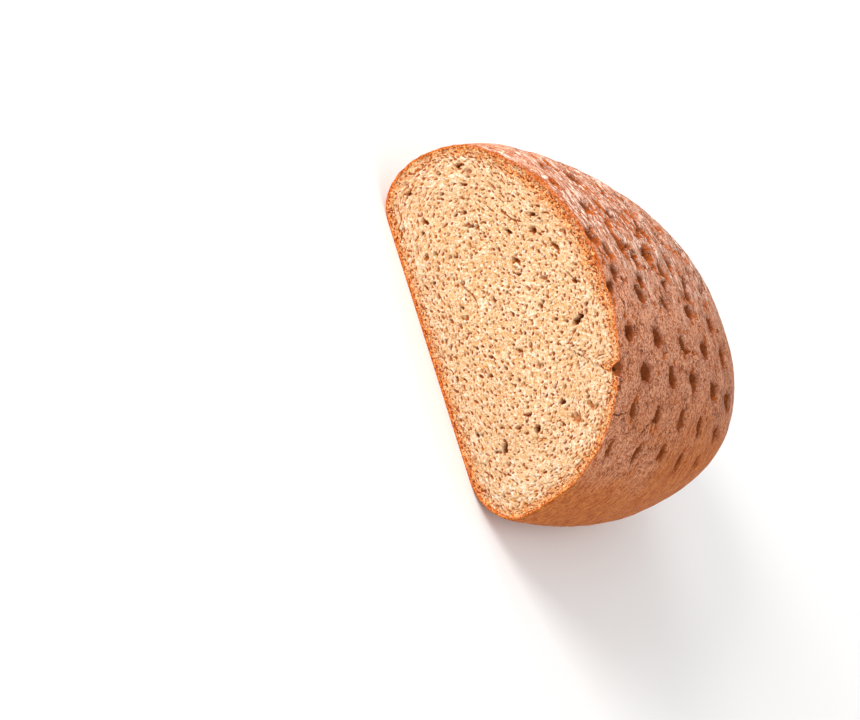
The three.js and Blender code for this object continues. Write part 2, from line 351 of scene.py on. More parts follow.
# shares of a pit's depth, and between which distances from its middle each ends
PIT_PROFILE = ((0.55, 0.84, 1.04), (0.15, 0.1, 1.35), (0.3, 0.3, 0.8))
PIT_ROUGHNESS = 0.45
PIT_LIP = 0.35  # how high the skin is pushed up round a pit
PIT_LIP_AT = 1.17  # in half sizes
PIT_LIP_WIDTH = 0.15
PIT_DIP = 0.8  # the broad dip round a pit
PIT_DIP_RADIUS = 7.0
PIT_RING_AT = 1.1  # the darker ring round a pit
PIT_RING_WIDTH = 0.4
LOW_ROW = 50.0  # pits further right than this are small and half closed
LOW_DRAWS = ((0.5, 0.7), (1.3, 1.9), (0.4, 0.65))  # size, length down the dome, openness
CUT_PIT_SIZE = 0.6  # the pit that the cut runs through is smaller
CUT_PIT_BEHIND = 1  # no further behind the cut than this
SHIELDED_BEHIND = 5  # pits nearer than this end before the cut
PIT_SHADED_SIDE = np.array([-0.3, -0.5, -0.8])  # towards the side of a pit that gets painted shade
PIT_SHADE_SHIFT = 0.25
PIT_SHADE_EDGE = (0.5, 1.05)
LIT_WALL_SHIFT = 0.5  # the wall painted as lit lies to the other side
LIT_WALL_EDGE = (0.55, 1.0)

# between which x the skin goes from whole to torn
TORN_PITS = (12, -30)
NARROW_PITS = (20, -10)
TORN_STRETCH = 0.7
NARROWED_BY = 0.3
TORN_LESS_SHADE = 0.45  # how much less painted shade a pit gets there

SINGLE_TEARS = 200
TORN_PATCHES = 44  # patches of tears on the left half of the dome
TEARS_IN_PATCH = (3, 8)
PATCH_RADIUS = 6.0
PIT_TEAR_CHANCE = 0.4  # for each end of a pit
TEAR_REACH = 7
TEAR_SWAY = 0.35  # radians off straight down the dome
TEAR_CURL = 0.2  # how high a tear's edge stands

CRACKS = [
    # plan places that a crack runs through, its width and its depth
    ([(57, 0), (56, 4), (55, 9), (54.8, 15)], 0.7, 0.7),
    ([(54.4, 36), (56.6, 32), (59.2, 28.5), (62.5, 25)], 0.8, 0.8),
    ([(38, 47), (42.5, 45), (47, 46), (52, 45)], 0.6, 0.6),
    ([(38, 24), (42, 27), (46, 28), (51, 33)], 0.6, 0.6),
    ([(37.5, 71), (41.5, 69), (46, 70), (51, 66)], 0.6, 0.5),
    ([(21, 11), (17, 12), (12, 10), (7, 7)], 0.6, 0.6),
    ([(24, 58), (28, 57), (33, 59), (37, 62)], 0.5, 0.5),
    ([(58, 70), (61, 66), (63.5, 60), (66, 57)], 0.5, 0.5),
    ([(-20, 5), (-25, 9), (-31, 14), (-36, 19)], 0.8, 0.7),
    ([(-6, 31), (-11, 33), (-17, 32), (-22, 35)], 0.6, 0.6),
]

STREAK_HEIGHT = 0.18
LUMP_HEIGHT = 0.3
RAGGED_EDGE = 0.4  # how uneven the crust is where it is cut
RAGGED_DEPTH = 3.5  # how far behind the cut that ends
EVEN_FOOT = 8  # the crust is smoother below this


def pit_relief(points, tree, rng):
    """How far the pits lower the crust, and maps of their depth, painted shade, painted lit wall
    and ring.
    """
    drop = np.zeros(len(points))
    maps = {key: np.zeros(len(points)) for key in ("pit", "pit_shade", "lit_wall", "ring")}
    for mouth, axis, radius, depth in docking_pits():
        near = points_near(tree, mouth, PIT_REACH)
        offset = points[near] - mouth
        flat = offset - (offset @ axis)[:, None] * axis
        down = np.cross(axis, [0, 1, 0])
        down /= np.linalg.norm(down)
        ahead = np.cross(down, axis)
        across, along = flat @ down, flat @ ahead
        turn = np.arctan2(along, across)
        phases = rng.uniform(0, 2 * np.pi, 4)
        wobble = 1 + PIT_GRAIN * noise_at(points[near], 0.5, 5)
        for (waves, share), phase in zip(PIT_WAVES, phases):
            wobble += share * np.sin(waves * turn + phase)
        torn = smooth(*TORN_PITS, mouth[0])
        radius *= 1 - NARROWED_BY * smooth(*NARROW_PITS, mouth[0])
        stretch, length, openness = (rng.uniform(*limits) for limits in PIT_DRAWS)
        stretch += TORN_STRETCH * torn
        if mouth[0] > LOW_ROW:
            size, stretch, openness = (rng.uniform(*limits) for limits in LOW_DRAWS)
            radius *= size
        if mouth[1] < CUT_PIT_BEHIND:
            radius *= CUT_PIT_SIZE
            openness = CUT_PIT_SIZE
        place = np.stack([across / stretch, along / length]) / (radius * wobble)
        distance = np.hypot(*place)
        lean = np.array([down @ PIT_SHADED_SIDE, ahead @ PIT_SHADED_SIDE])[:, None]
        lean /= np.linalg.norm(lean)
        from_pit_shade = np.hypot(*(place - PIT_SHADE_SHIFT * lean)) / openness
        from_lit_wall = np.hypot(*(place + LIT_WALL_SHIFT * lean))
        shape = sum(share * (1 - smooth(*edge, distance)) for share, *edge in PIT_PROFILE)
        shape *= depth * openness * (1 + PIT_ROUGHNESS * noise_at(points[near], 0.75, 7))
        lip = PIT_LIP * openness * bell(distance - PIT_LIP_AT, PIT_LIP_WIDTH)
        lip *= 1 + np.sin(turn + phases[3])
        dip = PIT_DIP * openness * bell(np.hypot(across, along), PIT_DIP_RADIUS)
        if CUT_PIT_BEHIND < mouth[1] < SHIELDED_BEHIND:
            behind = points[near, 1]
            shape *= smooth(-0.6, 2.6, behind)
            shape = np.minimum(shape, 1.2 + 1.4 * np.maximum(behind - 0.5, 0))
            dip *= smooth(0, SHIELDED_BEHIND, behind)
        drop[near] = np.maximum(drop[near], shape + dip - lip)
        here = {
            "pit": shape / PIT_DEPTH[1],
            "pit_shade": (1 - TORN_LESS_SHADE * torn) * (1 - smooth(*PIT_SHADE_EDGE, from_pit_shade)),
            "lit_wall": openness * (0.25 + 0.75 * torn) * (1 - smooth(*LIT_WALL_EDGE, from_lit_wall)),
            "ring": openness * bell(distance - PIT_RING_AT, PIT_RING_WIDTH),
        }
        for key, values in here.items():
            maps[key][near] = np.maximum(maps[key][near], values)
    return drop, maps


def tear_places(points, tree, rng):
    """Where the skin has torn: singly over the upper dome, and in patches left of its crest."""
    chance = smooth(0.45, 0.85, points[:, 2] / HEIGHT) * (0.35 + smooth(35, -40, points[:, 0]))
    singles = rng.choice(len(points), SINGLE_TEARS, replace=False, p=chance / chance.sum())
    torn = chance * smooth(20, -10, points[:, 0])
    places = singles.tolist()
    for mouth, axis, radius, _ in docking_pits():
        side = np.cross(axis, [0, 1, 0])
        for end in (-1, 1):
            if rng.uniform() < PIT_TEAR_CHANCE:
                place = mouth + side * end * radius * rng.uniform(1.0, 1.4)
                places.append(tree.find(place)[1])
    for host in rng.choice(len(points), TORN_PATCHES, replace=False, p=torn / torn.sum()):
        patch = points_near(tree, points[host], PATCH_RADIUS)
        places += rng.choice(patch, rng.randint(*TEARS_IN_PATCH)).tolist()
    return places


def tear_relief(points, normals, tree, rng):
    """Small tears in the skin, long down the dome, each with an edge that curls up a little."""
    drop = np.zeros(len(points))
    for centre in tear_places(points, tree, rng):
        near = points_near(tree, points[centre], TEAR_REACH)
        offset = points[near] - points[centre]
        down = np.cross(normals[centre], [0, 1, 0])
        down /= np.linalg.norm(down) + 1e-9
        sway = rng.uniform(-TEAR_SWAY, TEAR_SWAY)
        down = down * math.cos(sway) + np.cross(down, normals[centre]) * math.sin(sway)
        long = offset @ down
        wide = np.linalg.norm(offset - long[:, None] * down, axis=1)
        width = rng.uniform(0.55, 1.3)
        left_share = smooth(10, -50, points[centre, 0])
        stretch = rng.uniform(1.1, 2.2) + left_share * rng.uniform(0.3, 2.2)
        ragged = 1 + 0.25 * np.sin(long * rng.uniform(1.5, 3) + rng.uniform(0, 6))
        distance = np.hypot(long / stretch, wide) / (width * ragged)
        depth = rng.uniform(0.7, 1.3) * width
        curl = TEAR_CURL * bell(distance - 1.35, 0.25)
        drop[near] = np.maximum(drop[near], depth * (1 - smooth(0.35, 1.1, distance)) - curl)
    return drop


def crack_relief(points):
    """Cracks in the skin that run between pits, wandering and fading in and out."""
    drop = np.zeros(len(points))
    wander = np.zeros_like(points)
    wander[:, 0] = noise_at(points, 0.45, 31)
    wander[:, 1] = 1.2 * noise_at(points, 0.45, 32)
    strength = 0.35 + 0.65 * smooth(-0.35, 0.25, noise_at(points, 0.3, 33))
    for places, width, depth in CRACKS:
        for from_place, to_place in zip(places, places[1:]):
            start = crust_point(*over_place(*from_place))
            run = crust_point(*over_place(*to_place)) - start
            offset = points + wander - start
            share = np.clip(offset @ run / (run @ run), 0, 1)
            distance = np.linalg.norm(offset - share[:, None] * run, axis=1)
            groove = depth * (1 - smooth(0.1 * width, width, distance)) * strength
            drop = np.maximum(drop, groove)
    return drop


def crust_relief(plain, normals):
    """How far each point of the plain dome is lowered, and what its skin is like there."""
    rng = np.random.RandomState(RELIEF_SEED)
    tree = kdtree.KDTree(len(plain))
    for i, place in enumerate(plain.tolist()):
        tree.insert(place, i)
    tree.balance()
    x, y, z = plain.T
    drop, skin = pit_relief(plain, tree, rng)
    tears = tear_relief(plain, normals, tree, rng) * (1 - smooth(0.1, 0.4, skin["pit"]))
    cracks = crack_relief(plain)
    streaks = noise_at(plain, (0.08, 0.42, 0.08), 1) + 0.6 * noise_at(plain, (0.2, 1.0, 0.2), 2)
    streaks *= 1 + 1.8 * smooth(0, -50, x) * smooth(35, 60, z)
    lumps = noise_at(plain, 0.035, 3) + 0.4 * noise_at(plain, 0.09, 4)
    ragged = (1 + noise_at(plain, 0.55, 6)) * smooth(RAGGED_DEPTH, 0, y)
    uneven = STREAK_HEIGHT * (streaks + 1) + LUMP_HEIGHT * (lumps + 1) + RAGGED_EDGE * ragged
    skin |= {"tear": tears, "streak": streaks, "crack": cracks}
    # painted sheen: the upper left of the dome, which faces the light, is painted paler
    skin["painted_sheen"] = smooth(30, -58, x) * smooth(25, 62, z) * (1 + 0.5 * lumps)
    skin["burn"] = smooth(2.2, 0.3, y) * smooth(20, 50, z) * smooth(45, 5, x)
    return drop + tears + cracks + uneven * smooth(0, EVEN_FOOT, z), skin


# -------- crust mesh

RINGS_ABOVE = 164  # from the crest to the waist
RINGS_BELOW = 42
RINGS = RINGS_ABOVE + RINGS_BELOW
RING_ANGLES = 257
RING_SAMPLES = 129
CORE = np.array([0, 60, 30])  # well inside the loaf
SKIN = 0.5  # how wide the skin shows on the cut
SKIN_BACK = 0.05  # how far it slopes back there
BASE_STEPS = 240  # along the base at the cut
CUT_MIDDLE = (0.0, 40.0)
RECESS = [(2.2, 0.9), (7.5, 1.9), (12.0, 6.5)]  # how far in from the outline, and how deep
RECESS_GAP = 0.1  # the crumb's body stops this far short of it


def ring_turns():
    """Plan angles, and for each the turns of the rings, evenly spaced down the crust."""
    angles = np.linspace(0, np.pi, RING_ANGLES)
    table = []
    for angle in angles:
        turns = []
        for start, end, steps in ((0, 1, RINGS_ABOVE), (1, 2, RINGS_BELOW)):
            samples = np.linspace(start, end, RING_SAMPLES)
            line = crust_point(np.full(RING_SAMPLES, angle), samples)
            gaps = np.linalg.norm(np.diff(line, axis=0), axis=1)
            lengths = np.append(0, np.cumsum(gaps))
            even = np.interp(np.linspace(0, lengths[-1], steps + 1), lengths, samples)
            turns.append(even if start == 0 else even[1:])
        table.append(np.concatenate(turns))
    return angles, np.array(table)


def crust_grid():
    """Plan angle and turn at each point of a half-square grid bent onto the dome."""
    row, column = np.mgrid[0 : RINGS + 1, 0 : 2 * RINGS + 1]
    across = column - RINGS
    ring = np.maximum(np.abs(across), row)
    wide = np.abs(across) > row
    side_angle = (np.pi / 4) * row / np.maximum(np.abs(across), 1)
    side_angle = np.where(across < 0, np.pi - side_angle, side_angle)
    angle = np.where(wide, side_angle, np.pi / 2 - (np.pi / 4) * across / np.maximum(row, 1))
    angles, table = ring_turns()
    place = angle / np.pi * (len(angles) - 1)
    low = np.minimum(place.astype(int), len(angles) - 2)
    part = place - low
    turn = table[low, ring] * (1 - part) + table[low + 1, ring] * part
    return angle.ravel(), turn.ravel()


def grid_normals(points, rows, columns):
    """The outward direction at each point of a grid."""
    grid = points.reshape(rows, columns, 3)
    normal = np.cross(np.gradient(grid, axis=1), np.gradient(grid, axis=0))
    normal /= np.linalg.norm(normal, axis=-1, keepdims=True) + 1e-12
    normal = normal.reshape(-1, 3)
    return normal * np.median(np.sign(np.sum(normal * (points - CORE), axis=1)))


def build_crust(material):
    """The crust, with a shallow recess at the cut that the crumb fills, and its outline there."""
    rows, columns = RINGS + 1, 2 * RINGS + 1
    angle, turn = crust_grid()
    plain = crust_point(angle, turn)
    normals = grid_normals(plain, rows, columns)
    relief, skin = crust_relief(plain, normals)
    moved = plain - normals * relief[:, None]
    moved[:columns, 1] = 0
    moved[:, 1:] = np.maximum(moved[:, 1:], 0)
    moved[np.isclose(turn, 2), 2] = 0
    points = moved.tolist()
    vertex, faces = grid_faces(rows, columns)
    cut_edge = vertex[0].tolist()
    base_edge = vertex[:, 0].tolist() + vertex[-1, 1:].tolist() + vertex[-2::-1, -1].tolist()
    right_foot, left_foot = moved[cut_edge[-1]], moved[cut_edge[0]]
    shares = np.arange(1, BASE_STEPS)[:, None] / BASE_STEPS
    points += (right_foot * (1 - shares) + left_foot * shares).tolist()
    base_line = list(range(len(moved), len(points)))
    outline = cut_edge + base_line
    outer = np.array(points)[outline][:, [0, 2]]
    loops = [outline] + add_loops(points, outer, [(SKIN, SKIN_BACK)] + RECESS)
    join_loops(faces, loops)
    close_loop(faces, points, loops[-1], [CUT_MIDDLE[0], RECESS[-1][1], CUT_MIDDLE[1]])
    close_loop(faces, points, (base_edge + base_line)[::-1], [CREST_X, LENGTH / 3, 0])
    skin["skin"] = np.arange(len(points)) >= len(moved)
    return make_object("crust", points, faces, skin, material), outer


# -------- the cut face

CRUMB_LAP = 0.2  # how far the crumb reaches under the skin's cut edge
CRUMB_SINK = 0.12  # how far it lies behind it there
CRUMB_ACROSS = 400  # faces
CRUMB_UP = 228
CORNER = math.radians(30)  # of the grid, from the middle
RIM_EXTRA = 0.9  # more browned rim at the upper left
RIM_BODY = 9.0  # the rim distance of the crumb's hidden body
FLOW_RADIUS = 80.0  # for patterns that run round the cut
GRAIN_HEIGHT = 0.2
SAG = 0.25  # how far the crumb's slow unevenness goes in
PORE_LIP = 0.12  # how far a pore's wall, which carries a painted highlight, stands forward

# the map that the pores are pressed into, in mm
RASTER = 0.16
MAP_LEFT = -82.0
MAP_BOTTOM = -1.0
MAP_WIDTH = 164
MAP_HEIGHT = 89

PORE_SEED = 5
# how many are tried, radius from and to, and depth over radius of each kind of pore
PORES = [
    (130, 0.75, 1.0, 1.5),
    (2900, 0.46, 0.74, 1.1),
    (4600, 0.28, 0.44, 1.1),
]
PORE_EDGE = 0.6  # where a pore's wall begins, in half sizes
PORE_RIM_GAP = 1.5  # the crumb left between the outline and a pore
PORE_SPACING = 1.25  # how far apart pores are kept, in radii
PORE_PATCH = 0.09  # waves a mm of the dense and the loose places
PORE_HIGHLIGHT_AT = 1.35  # where the painted highlight on a pore's wall is strongest, in half sizes
PORE_HIGHLIGHT_WIDTH = 0.28
PORE_LIT_SIDE = math.radians(45)  # the side where the painted highlight is strongest, facing the light
SHADE_SHIFT = 0.22  # how far the painted shade in a pore lies to that side
DOUBLE_PORE_RADIUS = 0.46  # a pore wider than this may be of two ovals
DRAWN_PORES = (1500, 1.6, 9.0)  # how many, and how far in from the outline
RIM_PORES = (900, 0.8, 5.0)  # the same, in the crust's cut edge
HOLE_SIZE = 1.1  # its mouth is wider, as its wall slopes
HOLE_EDGE = 0.55
HOLE_ROOM = 0.75  # the share of the crumb's thickness that a hole may take
HOLE_PALE_DEPTH = 1.1  # a hole this shallow gets hardly any painted shade, so is hardly darker than the crumb
SPLIT_STEP = 0.4
SPLIT_LENGTH = 0.6


def window(row, column, gap, step=1):
    """The part of a map within a gap of one of its places."""
    return tuple(slice(max(at - gap, 0), at + gap + 1, step) for at in (row, column))


class CutFace:
    """The outline of the cut as a reach from its middle, and the pores as a map of depth."""

    def __init__(self, outer):
        middle = np.array(CUT_MIDDLE)
        spoke = outer - middle
        bearing = np.unwrap(np.arctan2(spoke[:, 1], spoke[:, 0]))
        if bearing[-1] < bearing[0]:
            bearing, spoke = bearing[::-1], spoke[::-1]
        self.bearing = np.maximum.accumulate(bearing)
        self.length = np.linalg.norm(spoke, axis=1)
        self.columns, self.rows = int(MAP_WIDTH / RASTER), int(MAP_HEIGHT / RASTER)
        x = MAP_LEFT + RASTER * np.arange(self.columns)
        z = MAP_BOTTOM + RASTER * np.arange(self.rows)
        self.x, self.z = np.meshgrid(x, z)
        dx, dz = self.x - middle[0], self.z - middle[1]
        self.share = np.hypot(dx, dz) / self.reach(np.arctan2(dz, dx))
        up, across = np.gradient(self.share, RASTER)
        self.rim = (1 - self.share) / (np.hypot(up, across) + 1e-9)
        self.flow = np.arctan2(across, -up)
        self.depth, self.dark, self.lip = np.zeros((3, self.rows, self.columns))

    def reach(self, angle):
        start = self.bearing[0]
        turned = start + np.mod(angle - start, 2 * np.pi)
        return np.interp(turned, self.bearing, self.length, period=2 * np.pi)

    def press(self, x, z, long, short, tilt, depth, dark, edge=PORE_EDGE):
        """Presses one oval hole into the map, with painted shade inside it and a painted highlight
        on its wall.
        """
        span = int(long * 1.7 / RASTER) + 2
        row = int(round((z - MAP_BOTTOM) / RASTER))
        here = window(row, int(round((x - MAP_LEFT) / RASTER)), span)
        dx, dz = self.x[here] - x, self.z[here] - z
        along = (dx * math.cos(tilt) + dz * math.sin(tilt)) / long
        across = (dz * math.cos(tilt) - dx * math.sin(tilt)) / short
        distance = np.hypot(along, across)
        insets, backs = zip((SKIN, 0.0), *RECESS)
        room = np.interp(self.rim[here], insets, backs) * HOLE_ROOM
        pressed = np.minimum(depth * (1 - smooth(edge, 1.05, distance)), room)
        side_along = SHADE_SHIFT * math.cos(PORE_LIT_SIDE - tilt)
        side_across = SHADE_SHIFT * math.sin(PORE_LIT_SIDE - tilt)
        shaded = np.hypot(along - side_along, across - side_across)
        shade = np.minimum(1 - smooth(edge, 1.05, shaded), 1 - smooth(0.9, 1.15, distance))
        facing = 0.55 + 0.45 * np.cos(np.arctan2(dz, dx) - PORE_LIT_SIDE)
        lip = bell(distance - PORE_HIGHLIGHT_AT, PORE_HIGHLIGHT_WIDTH) * min(dark, 1) * facing
        lip *= min(1.0, 0.75 / long)
        for field, new in ((self.depth, pressed), (self.dark, dark * shade), (self.lip, lip)):
            field[here] = np.maximum(field[here], new)

    def cell(self, x, z):
        return int((z - MAP_BOTTOM) / RASTER), int((x - MAP_LEFT) / RASTER)

    def taken(self, x, z, radius):
        """Whether a pore here would run into one that is already there."""
        gap = int(radius * PORE_SPACING / RASTER)
        return self.dark[window(*self.cell(x, z), gap, max(gap, 1))].max() > 0.1

    def places(self, rng, count, nearest=-math.inf, furthest=math.inf):
        """Random places in a strip along the outline: share of the way out, rim and flow too."""
        found = 0
        while found < count:
            x, z = rng.uniform(-WIDTH / 2, WIDTH / 2), rng.uniform(0, HEIGHT)
            cell = self.cell(x, z)
            if nearest < self.rim[cell] < furthest:
                found += 1
                yield x, z, self.share[cell], self.rim[cell], self.flow[cell]

    def scatter_pores(self, rng):
        """Pores all over the crumb, longer and more in line with the rim as they near it."""
        for count, least, most, deep in PORES:
            for x, z, share, rim, flow in self.places(rng, count):
                radius = least * (most / least) ** rng.uniform()
                radius *= 1 - 0.15 * smooth(0.6, 0.95, share)
                stretch = rng.uniform(1.0, 1.6) + rng.uniform(0.2, 1.9) * share**2.5
                tilt = flow + rng.normal(0, 0.85 - 0.6 * min(share, 1))
                depth = radius * deep * rng.uniform(0.6, 1.4)
                dark = rng.uniform(0.4, 1.0) * min(1.0, radius / 0.5)
                second = rng.uniform(-1, 1, 3)
                if rim < radius + PORE_RIM_GAP or self.taken(x, z, radius):
                    continue
                loose = noise.noise((x * PORE_PATCH, z * PORE_PATCH, PORE_SEED))
                if radius < DOUBLE_PORE_RADIUS and 0.5 * second[2] + loose < -0.45:
                    continue
                self.press(x, z, radius * stretch, radius / stretch**0.4, tilt, depth, dark)
                if radius > DOUBLE_PORE_RADIUS and second[2] > 0:
                    x += second[0] * radius
                    z += second[1] * radius
                    tilt += 1.5 * second[0]
                    self.press(x, z, radius, radius * 0.6, tilt, depth * 0.8, dark * 0.9)

    def scatter_rim_pores(self, rng):
        """Long pores drawn out along the rim, and small dark ones in the crust's cut edge."""
        for x, z, _, _, flow in self.places(rng, *DRAWN_PORES):
            radius = rng.uniform(0.3, 0.5)
            stretch = rng.uniform(1.6, 3.2)
            if self.taken(x, z, radius):
                continue
            tilt = flow + rng.normal(0, 0.22)
            dark = rng.uniform(0.45, 1.15) * (0.35 + 0.65 * smooth(-25, -60, x))
            self.press(x, z, radius * stretch, radius, tilt, radius * 1.3, dark)
        for x, z, _, _, flow in self.places(rng, *RIM_PORES):
            radius = rng.uniform(0.24, 0.42)
            stretch = rng.uniform(1.0, 2.2)
            dark = rng.uniform(0.6, 1.2)
            self.press(x, z, radius * stretch, radius, flow, radius * 1.5, dark)

    def open_holes(self, rng):
        """The larger holes and the splits, at their own places."""
        for x, z, long, short, tilt, depth in HOLES:
            long, short, tilt = long * HOLE_SIZE, short * HOLE_SIZE, math.radians(tilt)
            dark = 0.2 + 0.6 * (depth - HOLE_PALE_DEPTH)
            self.press(x, z, long, short, tilt, depth, dark, HOLE_EDGE)
        for places in SPLITS:
            for (x0, z0), (x1, z1) in zip(places, places[1:]):
                steps = max(2, round(math.hypot(x1 - x0, z1 - z0) / SPLIT_STEP))
                tilt = math.atan2(z1 - z0, x1 - x0)
                for step in range(steps):
                    x = x0 + (x1 - x0) * step / steps
                    z = z0 + (z1 - z0) * step / steps
                    width = SPLIT_WIDTH * rng.uniform(0.7, 1.3)
                    dark = rng.uniform(0.3, 0.7)
                    self.press(x, z, SPLIT_LENGTH, width, tilt, SPLIT_DEPTH, dark)

    def sample(self, field, x, z):
        """A map's value between its places."""
        column, row = (x - MAP_LEFT) / RASTER, (z - MAP_BOTTOM) / RASTER
        left = np.clip(column.astype(int), 0, self.columns - 2)
        low = np.clip(row.astype(int), 0, self.rows - 2)
        u, v = column - left, row - low
        bottom, top = (field[at, left] * (1 - u) + field[at, left + 1] * u for at in (low, low + 1))
        return bottom * (1 - v) + top * v


def crumb_grid():
    """Share of the way out and bearing at each point of a grid bent onto the cut."""
    up, across = np.mgrid[0 : CRUMB_UP + 1, 0 : CRUMB_ACROSS + 1]
    b = up / CRUMB_UP * 2 - 1
    a = across / CRUMB_ACROSS * 2 - 1
    share = np.maximum(np.abs(a), np.abs(b))
    safe_a = np.where(a == 0, 1, a)
    safe_b = np.where(b == 0, 1, b)
    side = CORNER * b / safe_a + np.where(a < 0, np.pi, 0)
    top = np.pi / 2 - (np.pi / 2 - CORNER) * a / safe_b + np.where(b < 0, np.pi, 0)
    bearing = np.where(np.abs(a) >= np.abs(b), side, top)
    return share.ravel(), bearing.ravel()


def build_crumb(outer, material):
    """The crumb: its cut face with every pore, on a body that fills the crust's recess."""
    rng = np.random.RandomState(PORE_SEED)
    face = CutFace(outer)
    face.scatter_pores(rng)
    face.scatter_rim_pores(rng)
    face.open_holes(rng)
    share, bearing = crumb_grid()
    reach = share * (face.reach(bearing) - (SKIN - CRUMB_LAP))
    x = CUT_MIDDLE[0] + reach * np.cos(bearing)
    z = CUT_MIDDLE[1] + reach * np.sin(bearing)
    depth, pore, rim, lip = (
        face.sample(field, x, z) for field in (face.depth, face.dark, face.rim, face.lip)
    )
    lip *= 1 - smooth(0.05, 0.4, depth)
    flat = np.stack([x, np.zeros_like(x), z], -1)
    flow = np.stack([rim, np.cos(bearing) * FLOW_RADIUS, np.sin(bearing) * FLOW_RADIUS], -1)
    drawn = smooth(0.45, 0.9, share)
    fine = noise_at(flat, 1.5, 12)
    even = noise_at(flat, 0.8, 11) + 0.7 * fine
    along_rim = noise_at(flow, (0.8, 0.3, 0.3), 14) + 0.5 * fine
    grain = even * (1 - drawn) + along_rim * drawn
    broad = noise_at(flat, 0.05, 13)
    y = depth + GRAIN_HEIGHT * (0.9 - grain) + SAG * (broad + 1) - PORE_LIP * lip
    y = np.maximum(y, 0) * smooth(0.3, 2.0, rim) + CRUMB_SINK * (1 - smooth(0.5, 1.5, rim))
    points = np.stack([x, y, z], -1).tolist()

    vertex, faces = grid_faces(CRUMB_UP + 1, CRUMB_ACROSS + 1)
    edge = vertex[0, :-1].tolist() + vertex[:-1, -1].tolist()
    edge += vertex[-1, :0:-1].tolist() + vertex[:0:-1, 0].tolist()
    border = np.array(points)[edge][:, [0, 2]]
    body = [(inset, back - RECESS_GAP) for inset, back in RECESS]
    loops = [edge] + add_loops(points, border, body)
    join_loops(faces, loops)
    close_loop(faces, points, loops[-1], [CUT_MIDDLE[0], body[-1][1], CUT_MIDDLE[1]])

    burnt = smooth(30, -10, x) * smooth(45, 70, z)
    thick_rim = rim / (1 + RIM_EXTRA * burnt)
    attributes = {
        "pore": pore,
        "rim": np.append(thick_rim, np.full(len(points) - len(x), RIM_BODY)),
        "toast": 0.15 + 0.35 * smooth(25, 8, z) + 0.6 * burnt,
    }
    # grain and lip carry painted highlight and shade to the material
    attributes |= {"grain": grain, "lip": lip, "flow": flow, "drawn": drawn}
    return make_object("crumb", points, faces, attributes, material)


# -------- materials


def srgb(red, green, blue):
    """A colour given as 0 to 255 on screen, as the linear colour a shader takes."""
    channels = []
    for value in (red, green, blue):
        value /= 255
        channels.append(value / 12.92 if value <= 0.04045 else ((value + 0.055) / 1.055) ** 2.4)
    return (*channels, 1.0)


BAND = srgb(193, 104, 51)
BAND_LIGHT = srgb(209, 127, 69)
BAND_DARK = srgb(145, 65, 26)
BAND_PAINTED_GLINT = srgb(236, 158, 84)
DOME = srgb(198, 114, 66)
DOME_LIGHT = srgb(232, 172, 136)
DOME_DARK = srgb(146, 64, 22)
PAINTED_GLINT = srgb(234, 208, 198)
DOME_SHADE = srgb(150, 82, 54)
# the painted sheen, its lines of painted highlight, and the browner skin streaks within it
SHEEN_PAINT = srgb(210, 172, 150)
PAINTED_HIGHLIGHT_LINE = srgb(242, 222, 206)
SKIN_STREAK = srgb(154, 76, 30)
TORN = srgb(180, 88, 32)
TORN_DEEP = srgb(92, 42, 16)
PIT_WALL = srgb(134, 68, 32)
PIT_DEEP = srgb(40, 20, 13)
EDGE_BURN = srgb(150, 66, 16)
SKIN_EDGE = srgb(222, 126, 54)
SKIN_EDGE_DARK = srgb(158, 68, 18)
CRUMB = srgb(226, 184, 134)
CRUMB_WARM = srgb(218, 172, 118)
CRUMB_LIGHT = srgb(255, 250, 238)
CRUMB_SHADE = srgb(204, 128, 44)
PORE = srgb(172, 84, 10)
PORE_DEEP = srgb(50, 21, 5)
RIM = srgb(214, 106, 22)
RIM_LIGHT = srgb(252, 202, 132)
RIM_DEEP = srgb(190, 78, 14)
RIM_PORE = srgb(132, 44, 6)
RIM_LINE = srgb(140, 48, 8)

CRUST_ROUGHNESS = (0.4, 0.6)
HOLLOW_ROUGHNESS = 0.85  # in pits and tears
CRUST_SPECULAR = 0.02
CRUMB_ROUGHNESS = 0.8
CRUMB_SPECULAR = 0.2


